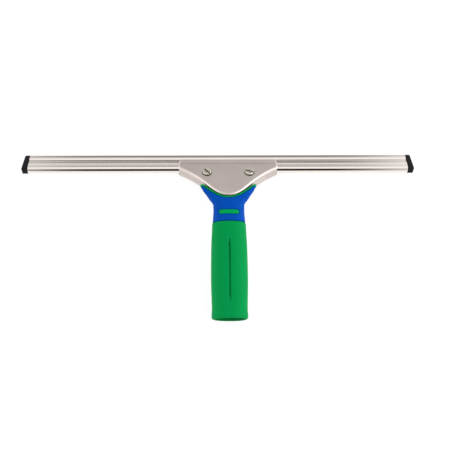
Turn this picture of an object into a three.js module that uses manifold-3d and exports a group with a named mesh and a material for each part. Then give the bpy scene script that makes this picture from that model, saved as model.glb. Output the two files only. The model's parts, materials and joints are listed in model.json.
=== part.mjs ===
// Window cleaning squeegee: a folded steel channel with a rubber blade, clamped between two
// pressed steel jaws by two slotted screws, on a bent handle with an open pole socket.
//
// The handle frame has its origin where the grip's centre line meets the head's middle plane:
// x runs along the channel, y points from the grip towards the head, z points out of the front.
// The head frame is the same frame turned down about x by the bend. In it, height (y) is counted
// from headDatum, so that zero lies on the channel's face, and depth (z) from the channel's front.
import * as THREE from "three";
import { mergeVertices } from "three/addons/utils/BufferGeometryUtils.js";
import Module from "manifold-3d";

const wasm = await Module();
wasm.setup();

// ---- Driving sizes, in millimetres and degrees ----

const bendAngle = 25; // between the grip's centre line and the head
const bendTangent = 7; // half the length over which the bend is rounded
const headDatum = 43; // from the bend up to height zero on the head

const touchGap = 0.3; // between pieces that rest on each other
const workingGap = 1.1; // round the jaws, where they pass into the handle

const channelLength = 350;
const channelShift = -9.5; // how far the channel's middle sits from the handle's centre line
const channelTop = 10.6;
const channelBottom = -7.2;
const channelDepth = 7.6;
const channelSheet = 0.6;
const channelRearTop = 6.3; // the rear wall stops lower than the front wall
const lipRadius = 0.9;
const channelCorner = 3.2;
const faceLean = 0.6; // how far the front wall leans back from its lip to the groove
const grooveTop = 5.5; // height at which the rolled groove starts
const grooveBottom = 0.6;
const grooveFloor = 4.85;
const grooveDepth = 1.32;
const creaseHeight = -0.3;
const creaseDepth = 0.3; // below the flat of the lower front wall
const creaseWidth = 0.7;

const bladeTip = 13.4;
const bladeThickness = 2;
const bladeMiddle = -0.53 * channelDepth; // depth of the blade's middle plane
const bulbRadius = 2.5;
const bulbHeight = -2.2;
const bulbNeck = 1.5; // thickness of the web between the bulb and the blade
const bladeShoulder = 4.4; // height at which the web widens into the blade
const neckLength = 1; // over which it widens

const clipCap = 4.8; // how far an end clip stands out past the channel
const clipInset = 0.4; // the cap is this much smaller than the channel all round
const clipRound = 1.3; // the cap's lower edges
const clipChamfer = 0.8; // the cap's front edge at the channel's top
const clipBack = 2.5; // the cap's rear edge at its tip
const clipTipRim = 0.3; // how far the cap's tip stands out round the blade
const clipFoot = 0.8; // extra reach of the foot at the bottom of the cap
const clipFootHeight = 3.6;
const clipFootRoot = 1.5; // how far the foot reaches back into the cap
const clipTongueLength = 12;
const clipTongueHeight = 4;

const jawHalfWidth = 45.8;
const jawTopHalfWidth = 45; // the straight ends lean in towards the top
const jawTop = 4;
const jawCorner = 3;
const jawShoulder = -7.4; // height at which the straight ends turn into the S curve
const jawShoulderSlope = 0.45;
const jawShoulderPull = 7; // how far along the curve each slope is felt
const jawWaist = 23.5; // where the S curve turns over
const jawWaistHeight = -23.6;
const jawWaistSlope = 0.95;
const jawWaistPull = 6;
const jawBottom = -40.8;
const jawBottomPull = 9.5;
const jawSheet = 1.5;
const jawEdgeRadius = 1.8;
const jawSeam = 0.3; // open seam between the two shells
const heelHalfWidth = 5;
const heelReach = 5.6; // how far the front jaw's heel goes into the handle
const tangHalfWidth = 6.5;
const tangThickness = 2;
const tangReach = 19; // length of the rear jaw's tang below the bend

const screwSpacing = 38.7;
const screwHeight = -13.6;
const screwShank = 3.9;
const screwPlay = 0.8; // how much wider the holes are than the shanks
const screwHole = screwShank + screwPlay;
const headDiameter = 8;
const headSide = 0.8;
const headDome = 0.4;
const headShoulder = 0.9; // width of the head's rounded edge
const slotWidth = 1.2;
const slotDepth = 1;
const screwSlotAngles = { left: -50, right: -21 }; // the way each slot happens to point
const washerDiameter = 9;
const washerThickness = 0.6;
const nutAcrossFlats = 7;
const nutHeight = 3.2;
const shankBeyondNut = 0.8;
const shankChamfer = 0.4;

const rimWall = 0.9; // the core's thin edge between the collar and the jaws
const rimRise = 0.3; // how far that edge stands out of the collar
const wingTop = -25.2; // height of the wing tips
const wingCap = 1.8; // the core covers this much of each wing tip
const collarEnd = -21.6; // along the grip, where the collar meets the grip sleeve
const collarWall = 1.5;
const badgeWidth = 18.4;
const badgeHeight = 4.9;
const badgeAlong = -12.7; // along the grip, of the badge's middle
const badgeSeat = 0.9; // how deep the badge sits in the collar

const gripEnd = -105.2;
const sleeveWall = 2.3;
const coreTopInset = 1; // the core's solid middle starts this far below the jaws
const coreEndInset = 3; // the socket's mouth lies this far inside the sleeve
const socketMouthRadius = 10.6;
const socketInnerRadius = 9.8;
const socketDepth = 76;
const socketChamfer = 2; // round the socket's floor
const gripGrooveTop = -36;
const gripGrooveBottom = gripEnd + 13.5;
const gripGrooveWidth = 1.7;
const gripGrooveDepth = 1.5;

// The handle's skin: distance along the centre line, half width, half thickness, squareness.
// Positive distances lie on the head and negative ones on the grip.
const collarSkin = [
  [wingTop + headDatum, 25.2, 3.4, 3],
  [11.9, 22.9, 3.8, 3],
  [6.9, 20.0, 4.1, 3],
  [1.9, 17.3, 4.7, 3],
  [-3, 14.2, 6.4, 2.7],
  [-7, 13.75, 7.8, 2.5],
  [-12.2, 13.75, 9.2, 2.4],
  [-17, 14.1, 10.5, 2.3],
  [collarEnd, 14.4, 11.5, 2.3],
];
const sleeveSkin = [
  [collarEnd, 14.75, 11.9, 2.3],
  [-30, 15.1, 12.9, 2.3],
  [-43, 15.65, 14.1, 2.3],
  [-71, 15.9, 15, 2.3],
  [gripEnd + 16.5, 15.45, 14.7, 2.3],
  [gripEnd + 8.5, 15.25, 14.6, 2.3],
  [gripEnd + 3, 15.55, 14.9, 2.3],
  [gripEnd + 0.9, 15.3, 14.65, 2.3],
  [gripEnd, 14.6, 13.95, 2.3],
];
const ringPoints = 32;

const mergeDistance = 0.02; // points closer than this are one point
const overshoot = 1; // how far a cutter starts outside the face that it cuts
const through = 30; // reach of a cut that goes right through

// ---- Materials ----

const finishes = {
  polishedSteel: { color: 0xcfc8c2, roughness: 0.2, metalness: 1 },
  satinSteel: { color: 0xb9b0aa, roughness: 0.42, metalness: 1 },
  screwSteel: { color: 0xc9c2b4, roughness: 0.3, metalness: 1 },
  blackRubber: { color: 0x1b1b1d, roughness: 0.75, metalness: 0 },
  blackPlastic: { color: 0x232326, roughness: 0.5, metalness: 0 },
  bluePlastic: { color: 0x0a4fb4, roughness: 0.4, metalness: 0 },
  greenPlastic: { color: 0x00984e, roughness: 0.45, metalness: 0 },
  greenGrip: { color: 0x00934a, roughness: 0.6, metalness: 0 },
};

// ---- Solids ----

function solidOf(geometry) {
  const bare = geometry.clone();
  bare.deleteAttribute("normal");
  bare.deleteAttribute("uv");
  const merged = mergeVertices(bare, 1e-4);
  return new wasm.Manifold(
    new wasm.Mesh({
      numProp: 3,
      vertProperties: merged.attributes.position.array,
      triVerts: new Uint32Array(merged.index.array),
    }),
  );
}

function geometryOf(solid) {
  const mesh = solid.getMesh();
  const geometry = new THREE.BufferGeometry();
  geometry.setAttribute("position", new THREE.BufferAttribute(mesh.vertProperties, 3));
  geometry.setIndex(new THREE.BufferAttribute(mesh.triVerts, 1));
  geometry.computeVertexNormals();
  return geometry;
}

function box(low, high) {
  const geometry = new THREE.BoxGeometry(high[0] - low[0], high[1] - low[1], high[2] - low[2]);
  geometry.translate((low[0] + high[0]) / 2, (low[1] + high[1]) / 2, (low[2] + high[2]) / 2);
  return solidOf(geometry);
}

// A flat outline given depth from low to high along z, with edges rounded by radius.
function slab(outline, low, high, radius = 0) {
  const geometry = new THREE.ExtrudeGeometry(outline, {
    depth: high - low - 2 * radius,
    bevelEnabled: radius > 0,
    bevelThickness: radius,
    bevelSize: radius,
    bevelOffset: -radius,
    bevelSegments: 2,
    curveSegments: 5,
  });
  geometry.translate(0, 0, low + radius);
  return solidOf(geometry);
}

// A section in height and depth, drawn as a shape's x and y, run along x from start to end.
function bar(section, start, end) {
  const geometry = new THREE.ExtrudeGeometry(section, {
    depth: end - start,
    bevelEnabled: false,
    curveSegments: 5,
  });
  const turn = new THREE.Matrix4().makeBasis(
    new THREE.Vector3(0, 1, 0),
    new THREE.Vector3(0, 0, 1),
    new THREE.Vector3(1, 0, 0),
  );
  geometry.applyMatrix4(turn);
  geometry.translate(start, 0, 0);
  return solidOf(geometry);
}

// A round solid about a line parallel to z: the profile lists radius and depth, from axis to axis.
function turned(profile, x, y, segments = 24) {
  const points = profile.map(([radius, depth]) => new THREE.Vector2(radius, depth));
  const geometry = new THREE.LatheGeometry(points, segments);
  geometry.rotateX(Math.PI / 2);
  geometry.translate(x, y, 0);
  return solidOf(geometry);
}

function cylinder(radius, low, high, x, y, segments = 24) {
  return turned(
    [
      [0, low],
      [radius, low],
      [radius, high],
      [0, high],
    ],
    x,
    y,
    segments,
  );
}

// A closed skin through rings with equal numbers of points, from the highest ring to the lowest.
function loft(rings) {
  const count = rings[0].length;
  const corners = [];
  rings.flat().forEach((p) => corners.push(p.x, p.y, p.z));
  const index = [];
  for (let ring = 0; ring + 1 < rings.length; ring++) {
    for (let i = 0; i < count; i++) {
      const a = ring * count + i;
      const b = ring * count + ((i + 1) % count);
      index.push(a, b, a + count, b, b + count, a + count);
    }
  }
  const last = (rings.length - 1) * count;
  for (let i = 1; i + 1 < count; i++) {
    index.push(0, i + 1, i);
    index.push(last, last + i, last + i + 1);
  }
  const geometry = new THREE.BufferGeometry();
  geometry.setAttribute("position", new THREE.Float32BufferAttribute(corners, 3));
  geometry.setIndex(index);
  return solidOf(geometry);
}

// The outline moved outwards by the distance, or inwards where the distance is negative.
function grown(points, distance) {
  return points.map((point, i) => {
    const before = points[(i + points.length - 1) % points.length];
    const after = points[(i + 1) % points.length];
    const inward = point.clone().sub(before).normalize();
    const outward = after.clone().sub(point).normalize();
    const normalIn = new THREE.Vector2(inward.y, -inward.x);
    const normalOut = new THREE.Vector2(outward.y, -outward.x);
    const middle = normalIn.clone().add(normalOut).normalize();
    return point.clone().addScaledVector(middle, distance / middle.dot(normalIn));
  });
}

// The points of a line that lie apart from the one before them.
function withoutRepeats(points) {
  return points.filter((point, i) => i === 0 || point.distanceTo(points[i - 1]) > mergeDistance);
}

// A sheet of even thickness that follows a bent line.
function sheetSection(line, thickness) {
  const side = (distance) =>
    line.map((point, i) => {
      const before = line[Math.max(i - 1, 0)];
      const after = line[Math.min(i + 1, line.length - 1)];
      const along = after.clone().sub(before).normalize();
      return point.clone().add(new THREE.Vector2(-along.y, along.x).multiplyScalar(distance));
    });
  return new THREE.Shape([...side(thickness / 2), ...side(-thickness / 2).reverse()]);
}

// ---- The bent centre line and the handle's skin ----

const bend = THREE.MathUtils.degToRad(bendAngle);
const bendRadius = bendTangent / Math.tan(bend / 2);
const headMiddle = -channelDepth / 2; // depth of the head's middle plane

// Where the centre line is, and how far it has turned down, at a distance along it.
function centreLine(along) {
  if (along <= -bendTangent) return { y: along, z: 0, turn: 0 };
  if (along >= bendTangent)
    return { y: along * Math.cos(bend), z: -along * Math.sin(bend), turn: bend };
  const turn = (bend * (along + bendTangent)) / (2 * bendTangent);
  return {
    y: -bendTangent + bendRadius * Math.sin(turn),
    z: -bendRadius * (1 - Math.cos(turn)),
    turn,
  };
}

// A smooth curve through the skin's stations, with each station's slope taken from its neighbours.
function skinAt(stations, along) {
  const last = stations.length - 2;
  let i = 0;
  while (i < last && along < stations[i + 1][0]) i++;
  const [from, to] = [stations[i], stations[i + 1]];
  const before = stations[Math.max(i - 1, 0)];
  const after = stations[Math.min(i + 2, stations.length - 1)];
  const step = to[0] - from[0];
  const t = Math.min(Math.max((along - from[0]) / step, 0), 1);
  return [1, 2, 3].map((k) => {
    const slopeFrom = ((to[k] - before[k]) / (to[0] - before[0])) * step;
    const slopeTo = ((after[k] - from[k]) / (after[0] - from[0])) * step;
    const cube = t * t * t;
    const square = t * t;
    return (
      (2 * cube - 3 * square + 1) * from[k] +
      (cube - 2 * square + t) * slopeFrom +
      (3 * square - 2 * cube) * to[k] +
      (cube - square) * slopeTo
    );
  });
}

// One ring of the skin, made smaller by the inset.
function skinRing(stations, along, inset) {
  const [halfWidth, halfThickness, squareness] = skinAt(stations, along);
  const { y, z, turn } = centreLine(along);
  const ring = [];
  for (let i = 0; i < ringPoints; i++) {
    const angle = ((i + 0.5) / ringPoints) * 2 * Math.PI;
    const reach = (value) => Math.sign(value) * Math.abs(value) ** (2 / squareness);
    const across = (halfWidth - inset) * reach(Math.cos(angle));
    const up = (halfThickness - inset) * reach(Math.sin(angle));
    ring.push(new THREE.Vector3(across, y + up * Math.sin(turn), z + up * Math.cos(turn)));
  }
  return ring;
}

function skin(stations, places, inset) {
  return loft(places.map((along) => skinRing(stations, along, inset)));
}

function spread(from, to, steps) {
  return Array.from({ length: steps + 1 }, (_, i) => from + ((to - from) * i) / steps);
}

// The half thickness of the skin, which is the front's height over the centre line.
function frontAt(stations, along) {
  return skinAt(stations, along)[1];
}

// Carries a solid from the head frame to the handle frame.
const headPlace = new THREE.Matrix4()
  .makeRotationX(-bend)
  .multiply(new THREE.Matrix4().makeTranslation(0, headDatum, -headMiddle));

function fromHead(solid) {
  return solid.transform(headPlace.elements);
}

// ---- Channel, blade and end clips, in the head frame ----

const channelLeft = channelShift - channelLength / 2;
const channelRight = channelShift + channelLength / 2;
const bladeFront = bladeMiddle + bladeThickness / 2;
const bladeRear = bladeMiddle - bladeThickness / 2;
const sheetHalf = channelSheet / 2;

function channelSection() {
  const front = -sheetHalf;
  const lowerFront = front - faceLean;
  const rear = -channelDepth + sheetHalf;
  const top = channelTop - sheetHalf;
  const rearTop = channelRearTop - sheetHalf;
  const bottom = channelBottom + sheetHalf;
  const lip = lipRadius - sheetHalf;
  const corner = channelCorner - sheetHalf;
  const line = new THREE.Path();
  line.moveTo(top, bladeFront + touchGap);
  line.lineTo(top, front - lip);
  line.absarc(top - lip, front - lip, lip, 0, Math.PI / 2, false);
  line.lineTo(grooveTop, front - faceLean);
  line.lineTo(grooveFloor, front - grooveDepth);
  line.lineTo(grooveBottom, lowerFront);
  line.lineTo(creaseHeight + creaseWidth / 2, lowerFront);
  line.lineTo(creaseHeight, lowerFront - creaseDepth);
  line.lineTo(creaseHeight - creaseWidth / 2, lowerFront);
  line.absarc(bottom + corner, lowerFront - corner, corner, Math.PI / 2, Math.PI, false);
  line.absarc(bottom + corner, rear + corner, corner, Math.PI, (3 * Math.PI) / 2, false);
  line.absarc(rearTop - lip, rear + lip, lip, (3 * Math.PI) / 2, 2 * Math.PI, false);
  line.lineTo(rearTop, bladeRear - touchGap);
  return sheetSection(withoutRepeats(line.getPoints(4)), channelSheet);
}

function bladeSection() {
  const bulbTop = bulbHeight + Math.sqrt(bulbRadius ** 2 - (bulbNeck / 2) ** 2);
  const neckAngle = Math.asin(bulbNeck / 2 / bulbRadius);
  const section = new THREE.Shape();
  section.moveTo(bladeTip, bladeRear);
  section.lineTo(bladeTip, bladeFront);
  section.lineTo(bladeShoulder, bladeFront);
  section.lineTo(bladeShoulder - neckLength, bladeMiddle + bulbNeck / 2);
  section.lineTo(bulbTop, bladeMiddle + bulbNeck / 2);
  section.absarc(bulbHeight, bladeMiddle, bulbRadius, neckAngle, 2 * Math.PI - neckAngle, false);
  section.lineTo(bladeShoulder - neckLength, bladeMiddle - bulbNeck / 2);
  section.lineTo(bladeShoulder, bladeRear);
  return section;
}

// The cap's outline follows the channel and leans back at the top, over the blade's tip.
function clipOutline(lowest) {
  const front = -clipInset;
  const rear = -channelDepth + clipInset;
  const points = [
    [lowest + clipRound, front],
    [channelTop - clipChamfer, front],
    [channelTop, front - clipChamfer / 2],
    [bladeTip, bladeFront + clipTipRim],
    [bladeTip, bladeRear - clipTipRim],
    [bladeTip - clipBack, rear],
    [lowest + clipRound, rear],
    [lowest, rear + clipRound],
    [lowest, front - clipRound],
  ];
  return points.map(([height, depth]) => new THREE.Vector2(height, depth));
}

// Built for the right-hand end: side is 1 there and -1 at the left-hand end.
function endClip(side) {
  const lowest = channelBottom + clipInset;
  const cap = bar(new THREE.Shape(clipOutline(lowest)), touchGap, clipCap);
  const footStart = clipCap - clipFootRoot;
  const footBlock = box(
    [footStart, lowest - overshoot, -channelDepth - overshoot],
    [clipCap + clipFoot, lowest + clipFootHeight, overshoot],
  );
  const foot = bar(new THREE.Shape(clipOutline(lowest)), footStart, clipCap + clipFoot);
  const tongueFront = -channelSheet - grooveDepth - touchGap;
  const tongueTop = channelTop - lipRadius - channelSheet;
  const tongue = box(
    [-clipTongueLength, tongueTop - clipTongueHeight, bladeFront + touchGap],
    [touchGap + overshoot, tongueTop, tongueFront],
  );
  let clip = cap.add(foot.intersect(footBlock)).add(tongue);
  if (side < 0) clip = clip.mirror([1, 0, 0]);
  return clip.translate(side > 0 ? channelRight : channelLeft, 0, 0);
}

// ---- Jaws, in the head frame ----

const jawFront = touchGap + jawSheet;
const jawRear = -channelDepth - jawFront;

function jawOutline() {
  const half = new THREE.Path();
  half.moveTo(0, jawBottom);
  half.bezierCurveTo(
    jawBottomPull,
    jawBottom,
    jawWaist - jawWaistPull,
    jawWaistHeight - jawWaistPull * jawWaistSlope,
    jawWaist,
    jawWaistHeight,
  );
  half.bezierCurveTo(
    jawWaist + jawWaistPull,
    jawWaistHeight + jawWaistPull * jawWaistSlope,
    jawHalfWidth - jawShoulderPull,
    jawShoulder - jawShoulderPull * jawShoulderSlope,
    jawHalfWidth,
    jawShoulder,
  );
  half.lineTo(jawTopHalfWidth, jawTop - jawCorner);
  half.quadraticCurveTo(jawTopHalfWidth, jawTop, jawTopHalfWidth - jawCorner, jawTop);
  const right = withoutRepeats(half.getPoints(7));
  const left = right.slice(1).map((point) => new THREE.Vector2(-point.x, point.y));
  return [...right, ...left.reverse()];
}

const jawPoints = jawOutline();
const screwPlaces = { left: -screwSpacing / 2, right: screwSpacing / 2 };

// A pressed shell whose plate lies in front: it stops at the seam in the head's middle plane.
function jawShell() {
  const whole = slab(new THREE.Shape(jawPoints), jawRear, jawFront, jawEdgeRadius);
  const inside = new THREE.Shape(grown(jawPoints, -jawSheet));
  const hollow = slab(inside, jawRear - overshoot, touchGap);
  const wide = jawHalfWidth + overshoot;
  const channelRoom = box(
    [-wide, channelBottom - touchGap, jawRear - overshoot],
    [wide, jawTop + overshoot, touchGap],
  );
  const otherHalf = box(
    [-wide, jawBottom - overshoot, jawRear - overshoot],
    [wide, jawTop + overshoot, headMiddle + jawSeam / 2],
  );
  let shell = whole.subtract(hollow).subtract(channelRoom).subtract(otherHalf);
  for (const x of Object.values(screwPlaces)) {
    const hole = cylinder(screwHole / 2, touchGap - overshoot, jawFront + overshoot, x, screwHeight);
    shell = shell.subtract(hole);
  }
  return shell;
}

function frontJaw() {
  const rear = headMiddle + jawSeam / 2;
  const heel = box(
    [-heelHalfWidth, jawBottom - heelReach, rear],
    [heelHalfWidth, jawBottom + jawSheet, rear + jawSheet],
  );
  return jawShell().add(heel);
}

// The tang starts inside the rear shell, follows the bend and ends inside the core.
const tangDepth = headMiddle - jawSeam / 2 - tangThickness / 2; // of its middle, on the head
const tangLevel = tangDepth - headMiddle; // the same, over the centre line

function tangLine(level, from, to) {
  return spread(from, to, 6).map((along) => {
    const { y, z, turn } = centreLine(along);
    return new THREE.Vector2(y + level * Math.sin(turn), z + level * Math.cos(turn));
  });
}

function tang(extra, endExtra) {
  const top = jawBottom + headDatum + jawSheet;
  const half = tangThickness / 2 + extra;
  const upper = tangLine(tangLevel + half, top, -tangReach - endExtra);
  const lower = tangLine(tangLevel - half, top, -tangReach - endExtra).reverse();
  const halfWidth = tangHalfWidth + extra;
  return bar(new THREE.Shape([...upper, ...lower]), -halfWidth, halfWidth);
}

function rearJaw() {
  const shell = jawShell()
    .translate(0, 0, -headMiddle)
    .mirror([0, 0, 1])
    .translate(0, 0, headMiddle);
  return fromHead(shell).add(tang(0, 0));
}

// ---- Screws, washers and nuts, in the head frame ----

const washerLow = jawFront + touchGap;
const washerHigh = washerLow + washerThickness;
const headLow = washerHigh + touchGap;
const headTop = headLow + headSide + headDome;
const nutHigh = jawRear - touchGap;
const nutLow = nutHigh - nutHeight;

function clampScrew(side) {
  const head = headDiameter / 2;
  const shank = screwShank / 2;
  const tip = nutLow - shankBeyondNut;
  const body = turned(
    [
      [0, tip],
      [shank - shankChamfer, tip],
      [shank, tip + shankChamfer],
      [shank, headLow],
      [head, headLow],
      [head, headLow + headSide],
      [head - headShoulder, headTop - headDome / 4],
      [0, headTop],
    ],
    0,
    0,
  );
  const slot = box(
    [-headDiameter, -slotWidth / 2, headTop - slotDepth],
    [headDiameter, slotWidth / 2, headTop + overshoot],
  );
  return body
    .subtract(slot)
    .rotate([0, 0, screwSlotAngles[side]])
    .translate(screwPlaces[side], screwHeight, 0);
}

function screwWasher(side) {
  const place = [screwPlaces[side], screwHeight];
  const ring = cylinder(washerDiameter / 2, washerLow, washerHigh, ...place);
  return ring.subtract(
    cylinder(screwHole / 2, washerLow - overshoot, washerHigh + overshoot, ...place),
  );
}

function clampNut(side) {
  const place = [screwPlaces[side], screwHeight];
  const acrossCorners = nutAcrossFlats / 2 / Math.cos(Math.PI / 6);
  const body = cylinder(acrossCorners, nutLow, nutHigh, ...place, 6);
  const hole = cylinder(screwHole / 2, nutLow - overshoot, nutHigh + overshoot, ...place);
  return body.subtract(hole);
}

// ---- Handle, in the handle frame ----

const wingStart = collarSkin[0][0];
const wingPlaces = [
  ...spread(wingStart, bendTangent, 5),
  ...spread(bendTangent, -bendTangent, 6).slice(1),
];
const collarPlaces = [
  ...spread(wingStart - wingCap - touchGap, bendTangent, 4),
  ...spread(bendTangent, -bendTangent, 6).slice(1),
  ...spread(-bendTangent, collarEnd, 4).slice(1),
];
const sleeveFlare = sleeveSkin[5][0]; // where the sleeve starts to widen towards its end
const sleevePlaces = [
  ...spread(collarEnd - touchGap, sleeveFlare, 9),
  ...spread(sleeveFlare, sleeveSkin[7][0], 4).slice(1),
  gripEnd,
];
const coreTop = jawBottom + headDatum - coreTopInset;

// The jaws' outline with room round it, as deep as the whole head.
function jawRoom(distance) {
  const outline = new THREE.Shape(grown(jawPoints, distance));
  return fromHead(slab(outline, jawRear - through, jawFront + through));
}

function coreSkin(inset, top, bottom) {
  const neckPlaces = [...spread(top, -bendTangent, 5), ...spread(-bendTangent, collarEnd, 3).slice(1)];
  const neck = skin(collarSkin, neckPlaces, inset);
  const sleeveInset = inset - collarWall + sleeveWall;
  const gripPlaces = [collarEnd + overshoot, ...spread(collarEnd, bottom, 7)];
  const grip = skin(sleeveSkin, gripPlaces, sleeveInset);
  return neck.add(grip);
}

function socketBore() {
  const mouth = gripEnd + coreEndInset;
  const floor = mouth + socketDepth;
  const points = [
    [0, mouth - overshoot],
    [socketMouthRadius, mouth - overshoot],
    [socketMouthRadius, mouth],
    [socketInnerRadius, floor - socketChamfer],
    [socketInnerRadius - socketChamfer, floor],
    [0, floor],
  ].map(([radius, along]) => new THREE.Vector2(radius, along));
  return solidOf(new THREE.LatheGeometry(points, ringPoints));
}

// Room for the front jaw's heel and the rear jaw's tang, in the handle frame.
function jawSlots() {
  const rear = headMiddle + jawSeam / 2;
  const halfWidth = heelHalfWidth + workingGap;
  const heelSlot = box(
    [-halfWidth, jawBottom - heelReach - workingGap, rear - workingGap],
    [halfWidth, jawBottom + 2 * jawSheet, rear + jawSheet + workingGap],
  );
  return tang(touchGap, touchGap).add(fromHead(heelSlot));
}

function socketCore() {
  const body = coreSkin(collarWall + touchGap, coreTop, gripEnd + coreEndInset);
  const band = jawRoom(workingGap + rimWall);
  const rim = skin(collarSkin, wingPlaces, -rimRise).intersect(band);
  const caps = skin(collarSkin, spread(wingStart, wingStart - wingCap, 1), -rimRise);
  return body
    .add(rim)
    .add(caps)
    .subtract(jawRoom(workingGap))
    .subtract(jawSlots())
    .subtract(socketBore());
}

function badgeBody(inset) {
  const half = badgeWidth / 2 - inset;
  const radius = badgeHeight / 2 - inset;
  const outline = new THREE.Shape();
  outline.moveTo(radius - half, -radius);
  outline.lineTo(half - radius, -radius);
  outline.absarc(half - radius, 0, radius, -Math.PI / 2, Math.PI / 2, false);
  outline.absarc(radius - half, 0, radius, Math.PI / 2, (3 * Math.PI) / 2, false);
  return slab(outline, 0, through).translate(0, badgeAlong, 0);
}

function collar() {
  const outside = skin(collarSkin, collarPlaces, 0);
  const inside = coreSkin(collarWall, coreTop + touchGap, collarEnd - overshoot);
  const badgePocket = badgeBody(0).subtract(skin(collarSkin, collarPlaces, badgeSeat));
  return outside
    .subtract(inside)
    .subtract(jawRoom(workingGap + rimWall + touchGap))
    .subtract(jawSlots())
    .subtract(badgePocket);
}

function badgeInlay() {
  const flush = skin(collarSkin, collarPlaces, 0);
  const underside = skin(collarSkin, collarPlaces, badgeSeat - touchGap);
  return badgeBody(touchGap).intersect(flush).subtract(underside);
}

// The groove's cutter: a thin wedge that follows the sleeve's front and runs out at both ends.
function gripGroove() {
  const half = gripGrooveWidth / 2;
  const places = spread(gripGrooveTop, gripGrooveBottom, 6);
  const rings = places.map((along, i) => {
    const front = frontAt(sleeveSkin, along);
    const atEnd = i === 0 || i === places.length - 1;
    const depth = atEnd ? mergeDistance : gripGrooveDepth;
    return [
      new THREE.Vector3(half, along, front + overshoot / 2),
      new THREE.Vector3(-half, along, front + overshoot / 2),
      new THREE.Vector3(0, along, front - depth),
    ];
  });
  return loft(rings);
}

function gripSleeve() {
  const outside = skin(sleeveSkin, sleevePlaces, 0);
  const insidePlaces = [
    collarEnd + overshoot,
    ...spread(collarEnd, gripEnd + coreEndInset, 7),
    gripEnd - overshoot,
  ];
  const inside = skin(sleeveSkin, insidePlaces, sleeveWall);
  return outside.subtract(inside).subtract(gripGroove());
}

// ---- Assembly ----

const handle = new THREE.Group(); // the handle frame
const head = new THREE.Group(); // the head frame, inside the handle frame
head.applyMatrix4(headPlace);
handle.add(head);

function place(group, name, solid, finish) {
  const material = new THREE.MeshStandardMaterial(finishes[finish]);
  const mesh = new THREE.Mesh(geometryOf(solid), material);
  mesh.name = name;
  group.add(mesh);
}

place(head, "channel", bar(channelSection(), channelLeft, channelRight), "polishedSteel");
place(head, "rubber_blade", bar(bladeSection(), channelLeft, channelRight), "blackRubber");
place(head, "left_end_clip", endClip(-1), "blackPlastic");
place(head, "right_end_clip", endClip(1), "blackPlastic");
place(head, "front_jaw", frontJaw(), "satinSteel");
place(handle, "rear_jaw", rearJaw(), "satinSteel");
for (const side of ["left", "right"]) {
  place(head, `${side}_clamp_screw`, clampScrew(side), "screwSteel");
  place(head, `${side}_screw_washer`, screwWasher(side), "screwSteel");
  place(head, `${side}_clamp_nut`, clampNut(side), "screwSteel");
}
place(handle, "socket_core", socketCore(), "greenPlastic");
place(handle, "collar", collar(), "bluePlastic");
place(handle, "badge_inlay", badgeInlay(), "greenPlastic");
place(handle, "grip_sleeve", gripSleeve(), "greenGrip");

// The tool lies face up on the grip's rear edge and the blade's tip, with its box's bottom
// centre at the origin.
const [contactAlong, , contactHeight] = sleeveSkin[6];
const gripContact = new THREE.Vector3(0, contactAlong, -contactHeight);
const bladeContact = new THREE.Vector3(0, bladeTip, bladeRear - clipTipRim);
bladeContact.applyMatrix4(headPlace);
const rise = bladeContact.sub(gripContact);
handle.rotation.x = -Math.atan2(rise.z, rise.y);
handle.updateMatrixWorld(true);
const bounds = new THREE.Box3().setFromObject(handle, true);
const middle = bounds.getCenter(new THREE.Vector3());
handle.position.set(-middle.x, -middle.y, -bounds.min.z);

const squeegee = new THREE.Group();
squeegee.add(handle);

export default squeegee;
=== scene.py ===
"""A window cleaning squeegee, lying face up on a pale table.

Two flat frames carry every piece. The head frame lies in the steel jaws: x runs along the channel,
y up to the blade's tip and z out of the front. The handle frame lies in the grip: y runs along the
grip towards the head. Both have x = 0 on the handle's centre line, and both are in millimetres.
"""
import json
import math

import bmesh
import bpy
import numpy as np
from mathutils import Matrix, Vector


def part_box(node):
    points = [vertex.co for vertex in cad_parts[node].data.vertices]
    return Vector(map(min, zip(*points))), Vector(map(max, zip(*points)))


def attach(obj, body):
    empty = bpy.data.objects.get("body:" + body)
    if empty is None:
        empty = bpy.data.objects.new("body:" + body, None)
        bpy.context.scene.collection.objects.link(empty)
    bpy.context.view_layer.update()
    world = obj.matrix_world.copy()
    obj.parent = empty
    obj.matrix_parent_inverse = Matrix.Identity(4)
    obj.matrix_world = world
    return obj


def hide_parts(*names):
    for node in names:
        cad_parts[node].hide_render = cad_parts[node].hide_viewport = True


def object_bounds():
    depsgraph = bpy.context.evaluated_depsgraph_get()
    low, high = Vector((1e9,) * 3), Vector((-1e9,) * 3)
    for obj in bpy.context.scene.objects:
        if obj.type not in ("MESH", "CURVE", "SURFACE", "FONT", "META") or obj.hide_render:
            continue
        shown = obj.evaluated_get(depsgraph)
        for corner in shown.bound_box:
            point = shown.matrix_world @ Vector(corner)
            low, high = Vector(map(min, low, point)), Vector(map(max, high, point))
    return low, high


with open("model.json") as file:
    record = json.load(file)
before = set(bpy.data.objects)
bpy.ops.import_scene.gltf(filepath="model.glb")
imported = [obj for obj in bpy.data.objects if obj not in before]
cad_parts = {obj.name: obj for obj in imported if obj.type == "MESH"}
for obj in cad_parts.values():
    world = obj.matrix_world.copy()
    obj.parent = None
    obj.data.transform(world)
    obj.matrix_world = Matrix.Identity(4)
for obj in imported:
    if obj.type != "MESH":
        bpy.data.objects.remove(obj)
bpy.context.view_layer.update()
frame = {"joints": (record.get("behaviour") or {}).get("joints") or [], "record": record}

# ---- Sizes, in millimetres and degrees ----

HEAD_DATUM = 43.0  # from the bend up to height zero on the head
BEND = 25.0
BEND_TANGENT = 7.0  # half the length over which the bend is rounded
TOUCH_GAP = 0.3
WORKING_GAP = 1.1

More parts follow.
